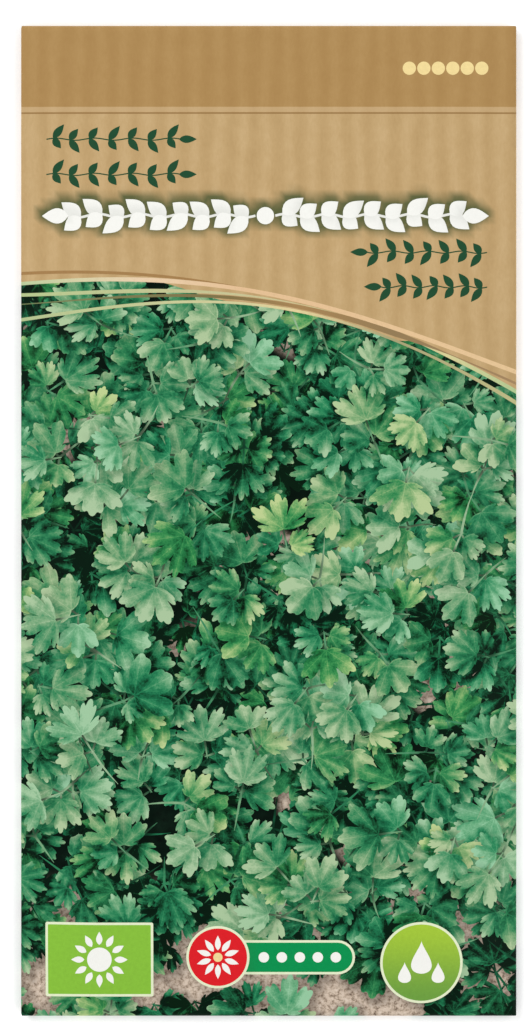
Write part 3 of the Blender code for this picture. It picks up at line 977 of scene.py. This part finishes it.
def make_sheet(name, outlines, grid, inner_grid, marks, materials):
    """A folded sheet with thickness: printed outside, plain inside and on its cut edges."""
    low, high, seen = marks_near(outlines, marks)
    verts, faces, centres = printed_side(outlines, grid, seen)
    rim = border(faces)
    inner_verts, inner_faces, across = plain_side(outlines, inner_grid, verts, rim)
    outer = folded(*verts.T) + facing(*verts.T) * PAPER / 2
    inner = folded(*inner_verts.T) - facing(*inner_verts.T) * PAPER / 2
    count = len(verts)
    rim_faces = [(int(b), int(a), across[a] + count, across[b] + count) for a, b in rim]
    mesh = bpy.data.meshes.new(name)
    all_faces = faces.tolist() + (inner_faces[:, ::-1] + count).tolist() + rim_faces
    mesh.from_pydata((np.concatenate((outer, inner)) * MM).tolist(), [], all_faces)

    top = top_marks(centres, seen)
    slots = {ink: number for number, ink in enumerate(materials)}
    inks = [slots[seen[number].ink if number >= 0 else BARE_INK] for number in top]
    inks += [slots["paper_inside"]] * (len(inner_faces) + len(rim))
    mesh.polygons.foreach_set("material_index", inks)
    mesh.polygons.foreach_set("use_smooth", [True] * len(inks))
    mark_rim(mesh, rim_faces)

    loops = len(mesh.loops)
    loop_vert = np.zeros(loops, int)
    mesh.loops.foreach_get("vertex_index", loop_vert)
    flat = np.concatenate((verts, inner_verts))[loop_vert]
    bake = (flat - low) / (high - low) * (PRINT_SHARE, 1)
    plain = slice(3 * len(faces), None)
    bake[plain, 0] = PRINT_SHARE + bake[plain, 0] * (1 - PRINT_SHARE)
    leaf_place, look, light = corner_prints(verts, faces, top, seen)
    write_uv(mesh, "OFBake", bake)
    write_uv(mesh, "blank", flat)
    write_uv(mesh, "leaf", padded(leaf_place, loops))
    write_colour(mesh, "leaf_look", padded(look, loops))
    write_colour(mesh, "leaf_light", padded(light, loops))
    return make_piece(name, mesh, materials.values())


def make_piece(name, mesh, materials):
    piece = bpy.data.objects.new(name, mesh)
    bpy.context.scene.collection.objects.link(piece)
    for material in materials:
        mesh.materials.append(material)
    return piece


def padded(values, rows):
    return np.concatenate((values, np.zeros((rows - len(values), values.shape[1]))))


def write_uv(mesh, name, values):
    layer = mesh.uv_layers.new(name=name)
    layer.uv.foreach_set("vector", np.ascontiguousarray(values, np.float32).ravel())


def write_colour(mesh, name, values, owner="CORNER"):
    layer = mesh.attributes.new(name, "FLOAT_COLOR", owner)
    layer.data.foreach_set("color", np.ascontiguousarray(values, np.float32).ravel())


def mark_rim(mesh, rim_faces):
    """Makes both edges of the paper's cut sharp: its faces join the printed and the plain side."""
    sharp_ends = {tuple(sorted(pair)) for a, b, c, d in rim_faces for pair in ((a, b), (c, d))}
    sharp = mesh.attributes.new("sharp_edge", "BOOLEAN", "EDGE")
    sharp.data.foreach_set("value", [tuple(sorted(edge.vertices)) in sharp_ends for edge in mesh.edges])


# Materials


class Wires:
    """Short calls for a material's nodes. They take sockets or plain values and give the result's socket."""

    def __init__(self, name):
        self.material = bpy.data.materials.new(name)
        self.material.use_nodes = True
        self.tree = self.material.node_tree
        self.shader = self.tree.nodes["Principled BSDF"]

    def feed(self, socket, value):
        if isinstance(value, bpy.types.NodeSocket):
            self.tree.links.new(value, socket)
        else:
            socket.default_value = linear(value) if socket.type == "RGBA" else value

    def node(self, kind, inputs=(), **settings):
        """A new node with its settings made and its inputs fed, by number or by name."""
        made = self.tree.nodes.new(kind)
        for key, value in settings.items():
            setattr(made, key, value)
        for key, value in dict(inputs).items():
            self.feed(made.inputs[key], value)
        return made

    def math(self, operation, *values):
        return self.node("ShaderNodeMath", enumerate(values), operation=operation).outputs[0]

    def times(self, a, b):
        return self.math("MULTIPLY", a, b)

    def total(self, value, *terms):
        """The value with terms added to it, each times its weight."""
        for term, weight in terms:
            value = self.math("MULTIPLY_ADD", term, weight, value)
        return value

    def swing(self, value):
        """A value from 0 to 1 as one either side of 0."""
        return self.math("SUBTRACT", value, 0.5)

    def step(self, value, low, high, out_low=0.0, out_high=1.0):
        inputs = enumerate((value, low, high, out_low, out_high))
        return self.node("ShaderNodeMapRange", inputs, interpolation_type="SMOOTHSTEP").outputs[0]

    def parts(self, vector):
        return tuple(self.node("ShaderNodeSeparateXYZ", {0: vector}).outputs)

    def scaled(self, vector, *factors):
        return self.node("ShaderNodeVectorMath", {0: vector, 1: factors}, operation="MULTIPLY").outputs[0]

    def mix(self, share, a, b, blend="MIX"):
        inputs = {0: share, 6: a, 7: b}
        return self.node("ShaderNodeMix", inputs, data_type="RGBA", blend_type=blend).outputs[2]

    def noise(self, vector, scale, detail=2.0, roughness=0.5):
        inputs = {"Vector": vector, "Scale": scale, "Detail": detail, "Roughness": roughness}
        return self.node("ShaderNodeTexNoise", inputs).outputs["Fac"]

    def ramp(self, value, stops):
        made = self.node("ShaderNodeValToRGB", {0: value})
        elements = made.color_ramp.elements
        while len(elements) < len(stops):
            elements.new(0.5)
        for element, (place, colour) in zip(elements, stops):
            element.position = place
            element.color = linear(colour)
        return made.outputs[0]

    def uv(self, name):
        return self.node("ShaderNodeUVMap", uv_map=name).outputs[0]

    def place(self):
        return self.node("ShaderNodeTexCoord").outputs["Object"]

    def attribute(self, name):
        made = self.node("ShaderNodeAttribute", attribute_name=name)
        return (*self.parts(made.outputs["Vector"]), made.outputs["Alpha"])

    def shaded(self, colour, strength, dark):
        """The colour, darkened where a later mark casts its shadow."""
        return self.mix(self.times(self.attribute("leaf_light")[0], strength), colour, dark)

    def surface(self, colour, roughness, bump, strength, depth=0.02 * MM):
        self.feed(self.shader.inputs["Base Color"], colour)
        self.feed(self.shader.inputs["Roughness"], roughness)
        inputs = {"Strength": strength, "Distance": depth, "Height": bump}
        self.feed(self.shader.inputs["Normal"], self.node("ShaderNodeBump", inputs).outputs[0])
        return self.material


def linear(colour):
    """A screen colour as a shader's colour."""
    shares = [((v / 255 + 0.055) / 1.055) ** 2.4 if v > 10 else v / 255 / 12.92 for v in colour]
    return (*shares, 1.0)


def coated(wires, colour):
    """Printed, lightly coated paper: a fine tooth, and gloss that varies a little across the sheet."""
    blank = wires.uv("blank")
    tooth = wires.noise(blank, 2.6, 4.0, 0.65)
    roughness = wires.step(wires.noise(blank, 0.35, 3.0), 0.3, 0.7, 0.4, 0.52)
    wires.shader.inputs["Specular IOR Level"].default_value = 0.05
    return wires.surface(colour, roughness, tooth, 0.25)


def kraft_material():
    """Brown board print: upright flutes, fibres, a darker band with two lines, and the garland's shadow."""
    wires = Wires("kraft_print")
    blank = wires.uv("blank")
    u, v, _ = wires.parts(blank)
    wander = wires.noise(wires.scaled(blank, 1.0, 0.35, 1.0), 0.2)
    flute = wires.math("SINE", wires.total(wires.times(wander, 5.0), (u, 2 * math.pi / FLUTE)))
    fibres = wires.noise(wires.scaled(blank, 2.4, 0.8, 1.0), 1.0, 5.0, 0.7)
    blotch = wires.noise(blank, 0.3, 4.0, 0.6)
    tone = wires.total(0.28, (fibres, 0.26), (flute, 0.06), (blotch, 0.18))
    in_band = wires.step(v, BAND_V - 0.05, BAND_V + 0.05)
    colour = wires.mix(in_band, wires.ramp(tone, BOARD), wires.ramp(tone, BAND))
    for low, high, blur, strength, ink in BAND_LINES:
        above = wires.step(v, BAND_V - low, BAND_V - low + blur)
        below = wires.step(v, BAND_V - high, BAND_V - high - blur)
        colour = wires.mix(wires.times(wires.times(above, below), strength), colour, ink)
    return coated(wires, wires.shaded(colour, 0.9, BOARD_SHADE))


def leaf_material():
    """A leaf of the picture: veins that fan from its base, puckered lobes, pale rim, mottling and shade."""
    wires = Wires("leaf_print")
    x, y, _ = wires.parts(wires.uv("leaf"))
    tone, tint, turn, age = wires.attribute("leaf_look")
    shade, edge, lobes, _ = wires.attribute("leaf_light")
    blank = wires.uv("blank")
    radius = wires.math("SQRT", wires.total(wires.times(y, y), (x, x)))
    lobe_turn = wires.times(wires.math("ARCTAN2", x, y), lobes)
    vein_gap = wires.times(wires.math("ABSOLUTE", wires.math("SINE", lobe_turn)), radius)
    vein = wires.step(vein_gap, 0.008, 0.06, 1.0, 0.0)
    pucker = wires.times(wires.math("COSINE", wires.times(lobe_turn, 2.0)), radius)
    branch = wires.math("SINE", wires.total(wires.times(vein_gap, -46.0), (radius, 52.0)))
    light_turn = wires.times(turn, 2 * math.pi)
    tilt = wires.times(wires.swing(y), wires.math("SINE", light_turn))
    tilt = wires.total(tilt, (x, wires.math("COSINE", light_turn)))
    fold = wires.times(wires.step(x, -0.1, 0.1, -1.0, 1.0), wires.swing(age))
    value = wires.total(
        tone,
        (pucker, 0.22),
        (tilt, 0.42),
        (fold, 0.2),
        (wires.swing(wires.noise(blank, 0.6, 3.0, 0.6)), 0.8),
        (wires.swing(wires.noise(blank, 3.0, 3.0, 0.6)), 0.4),
        (vein, 0.12),
        (wires.step(branch, 0.6, 1.0), 0.06),
        (wires.step(edge, 0.0, 0.25, 1.0, 0.0), 0.08),
        (wires.math("SUBTRACT", radius, 0.55), 0.26),
        (shade, -0.18),
    )
    colour = wires.mix(0.7, wires.ramp(value, GREENS), wires.ramp(tint, TINTS), "OVERLAY")
    return coated(wires, wires.shaded(colour, 0.25, DEEP_SHADE))


def stem_material():
    """A stalk of the picture, mottled round its own tone."""
    wires = Wires("stem_print")
    mottle = wires.swing(wires.noise(wires.uv("blank"), 1.2, 3.0))
    value = wires.total(wires.attribute("leaf_look")[0], (mottle, 0.3))
    return coated(wires, wires.shaded(wires.ramp(value, GREENS), 0.8, DEEP_SHADE))


def hollow_material():
    """What shows between the leaves: near black depth, with crumbs of brown soil in a few places."""
    wires = Wires("hollow_print")
    blank = wires.uv("blank")
    depth = wires.ramp(wires.noise(blank, 0.6, 4.0), DEPTHS)
    soil = wires.ramp(wires.noise(blank, 1.3, 5.0, 0.75), SOILS)
    patches = wires.step(wires.noise(blank, 0.045, 1.0), 0.52, 0.58)
    foot = wires.step(wires.parts(blank)[1], SOIL_V + 4, SOIL_V - 6)
    shaded_depth = wires.shaded(depth, 0.85, DEEP_SHADE)
    shaded_soil = wires.shaded(soil, 0.56, SOIL_SHADE)
    return coated(wires, wires.mix(wires.math("MAXIMUM", patches, foot), shaded_depth, shaded_soil))


def flat_ink(name, colour, foot=None, mottling=0.06, shading=0.24):
    """A plain ink with faint mottling. One with a foot fades to that colour down the right badge."""
    wires = Wires(name)
    blank = wires.uv("blank")
    if foot is not None:
        low, high = (RIGHT_BADGE[1] + side * RIGHT_BADGE_RADIUS for side in (-1, 1))
        colour = wires.mix(wires.step(wires.parts(blank)[1], low, high), foot, colour)
    mottle = wires.step(wires.noise(blank, 1.6, 4.0, 0.7), 0.2, 0.8, 1 - mottling, 1 + mottling)
    grey = wires.node("ShaderNodeCombineColor", enumerate((mottle, mottle, mottle)))
    colour = wires.mix(1.0, colour, grey.outputs[0], "MULTIPLY")
    return coated(wires, wires.shaded(colour, shading, INK_SHADE))


def line_ink(name, stops):
    """A header line's ink, which changes on its way across."""
    wires = Wires(name)
    blank = wires.uv("blank")
    share = wires.total(0.5, (wires.parts(blank)[0], 1 / WIDTH))
    grain = wires.step(wires.noise(blank, 1.6, 4.0, 0.7), 0.4, 0.9, 0.0, 0.2)
    return coated(wires, wires.mix(grain, wires.ramp(share, list(stops)), LINE_GRAIN))


def paper_inside_material():
    """Uncoated white paper with fine fibres."""
    wires = Wires("paper_inside")
    fibres = wires.noise(wires.scaled(wires.place(), 900.0, 2600.0, 900.0), 1.0, 5.0, 0.7)
    roughness = wires.step(fibres, 0.3, 0.7, 0.75, 0.9)
    return wires.surface(wires.ramp(fibres, PAPER_COLOURS), roughness, fibres, 0.4)


def glue_material():
    """Dried glue: amber, glossy in streaks, with small bubbles."""
    wires = Wires("dried_glue")
    place = wires.place()
    streaks = wires.noise(wires.scaled(place, 300.0, 1200.0, 300.0), 1.0, 4.0, 0.6)
    bubbles = wires.noise(place, 3200.0)
    roughness = wires.step(bubbles, 0.35, 0.65, 0.25, 0.5)
    wires.shader.inputs["Subsurface Weight"].default_value = 0.1
    wires.shader.inputs["Subsurface Scale"].default_value = 0.3 * MM
    return wires.surface(wires.ramp(streaks, GLUE_COLOURS), roughness, bubbles, 0.5)


def seed_material():
    """Dry seed husk: tan ribs over darker furrows, with blotches."""
    wires = Wires("coriander_seed")
    place = wires.place()
    blotch = wires.noise(place, 420.0, 4.0, 0.6)
    grain = wires.noise(place, 2600.0, 3.0, 0.6)
    rib = wires.attribute("rib")[0]
    value = wires.total(rib, (wires.swing(blotch), 0.9), (wires.swing(grain), 0.3))
    roughness = wires.step(grain, 0.3, 0.7, 0.6, 0.85)
    return wires.surface(wires.ramp(value, SEED_COLOURS), roughness, grain, 0.5, 0.03 * MM)


def floor_material():
    """A pale table top that glows a little."""
    wires = Wires("floor")
    grain = wires.noise(wires.place(), 8.0, 3.0)
    wires.feed(wires.shader.inputs["Base Color"], wires.ramp(grain, FLOOR_COLOURS))
    wires.shader.inputs["Roughness"].default_value = 0.9
    wires.shader.inputs["Emission Color"].default_value = WHITE_LIGHT
    wires.shader.inputs["Emission Strength"].default_value = FLOOR_GLOW
    return wires.material


def make_sheet_materials():
    """The sheets' inks and bare paper, by name, in the order of their slots."""
    materials = {
        "kraft": kraft_material(),
        "hollow": hollow_material(),
        "leaf": leaf_material(),
        "stem": stem_material(),
    }
    for name, colour in FLAT_INKS.items():
        materials[name] = flat_ink(f"{name}_print", colour, **INK_TRAITS.get(name, {}))
    for name, colours in LINE_COLOURS.items():
        materials[name] = line_ink(f"{name}_print", zip(LINE_CHANGES[name], colours))
    materials["paper_inside"] = paper_inside_material()
    return materials


# Seeds


def seed_shape(direction):
    """How far a seed of unit radius reaches along each direction, and how much of a rib is there."""
    x, y, z = direction.T
    around = np.arctan2(y, x)
    wide = np.sqrt(np.maximum(1 - z * z, 0))
    rib = (0.5 + 0.5 * np.cos(SEED_RIBS * around)) ** 2 * wide
    fine = (0.5 + 0.5 * np.cos(2 * SEED_RIBS * around + 2 * np.sin(9 * z))) ** 4 * wide
    tip = np.exp(-((1 - z) ** 2) / 0.004)
    reach = SEED_HEIGHT_BASE + SEED_RIB_HEIGHT * rib + SEED_FINE_HEIGHT * fine + SEED_TIP_HEIGHT * tip
    return reach, 0.75 * rib + 0.25 * fine


def unit_sphere():
    """Directions of a sphere's corners, and its faces as lists of their numbers."""
    shape = bmesh.new()
    bmesh.ops.create_uvsphere(shape, u_segments=SEED_SEGMENTS, v_segments=SEED_RINGS, radius=1)
    directions = np.array([tuple(vert.co.normalized()) for vert in shape.verts])
    faces = [[vert.index for vert in face.verts] for face in shape.faces]
    shape.free()
    return directions, faces


def make_seeds():
    """All the loose seeds as one piece, each turned its own way and inside its own size."""
    draw = random.Random(8)
    directions, faces = unit_sphere()
    reach, rib = seed_shape(directions)
    local = directions * reach[:, None]
    places, all_faces = [], []
    for number, (*centre, size) in enumerate(SEEDS):
        spin = Vector([draw.uniform(-1, 1) for _ in range(3)]).to_track_quat("Z", "Y").to_matrix()
        spun = local @ np.array(spin).T
        low, high = spun.min(axis=0), spun.max(axis=0)
        half = (high - low).max() / 2
        places.append((spun - (high + low) / 2) / half * size / 2 + centre)
        all_faces += [[index + number * len(directions) for index in face] for face in faces]
    mesh = bpy.data.meshes.new("coriander_seeds")
    mesh.from_pydata((np.concatenate(places) * MM).tolist(), [], all_faces)
    mesh.shade_smooth()
    write_colour(mesh, "rib", np.tile(np.repeat(rib, 4), len(SEEDS)), "POINT")
    return make_piece("coriander_seeds", mesh, [seed_material()])


# Floor, light and camera


def make_floor():
    """A pale table lit from within, so that the packet's shadow on it stays faint."""
    bpy.ops.mesh.primitive_plane_add(size=FLOOR_SIZE, location=(0, 0, FLOOR_LEVEL))
    floor = bpy.context.object
    floor.name = "floor"
    floor.data.materials.append(floor_material())


def make_light(name, place, size, watts):
    lamp = bpy.data.lights.new(name, "AREA")
    lamp.size = size
    lamp.energy = watts
    light = bpy.data.objects.new(name, lamp)
    light.location = place
    light.rotation_euler = (-Vector(place)).to_track_quat("-Z", "Y").to_euler()
    bpy.context.scene.collection.objects.link(light)


def make_lights():
    world = bpy.data.worlds.new("studio")
    bpy.context.scene.world = world
    world.use_nodes = True
    background = world.node_tree.nodes["Background"]
    background.inputs["Color"].default_value = WHITE_LIGHT
    background.inputs["Strength"].default_value = SKY_STRENGTH
    for light in LIGHTS:
        make_light(*light)


def make_camera():
    lens = bpy.data.cameras.new("camera")
    lens.lens = CAMERA_LENS
    lens.sensor_width = CAMERA_SENSOR
    camera = bpy.data.objects.new("camera", lens)
    camera.location = (*CAMERA_PLACE, CAMERA_HEIGHT + FRONT_LEVEL * MM)
    bpy.context.scene.collection.objects.link(camera)
    bpy.context.scene.camera = camera


def main():
    bpy.context.scene.view_settings.view_transform = "Standard"
    prints = all_marks(), make_sheet_materials()
    front_grids = front_grid(FRONT_STEP), front_grid(FRONT_INNER_STEP)
    front = make_sheet("packet_front", [front_outline()], *front_grids, *prints)
    back = make_sheet("packet_back", back_outlines(), back_grid(), back_grid(), *prints)
    for piece in (front, back):
        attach(piece, "root")
        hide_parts("envelope")
    seeds = make_seeds()
    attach(seeds, "root")
    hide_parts(*SEED_NODES)
    glue = glue_material()
    for name in ("side_seam_glue", "bottom_flap_glue", "top_flap_glue"):
        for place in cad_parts[name].material_slots:
            place.material = glue
    make_floor()
    make_lights()
    make_camera()


main()
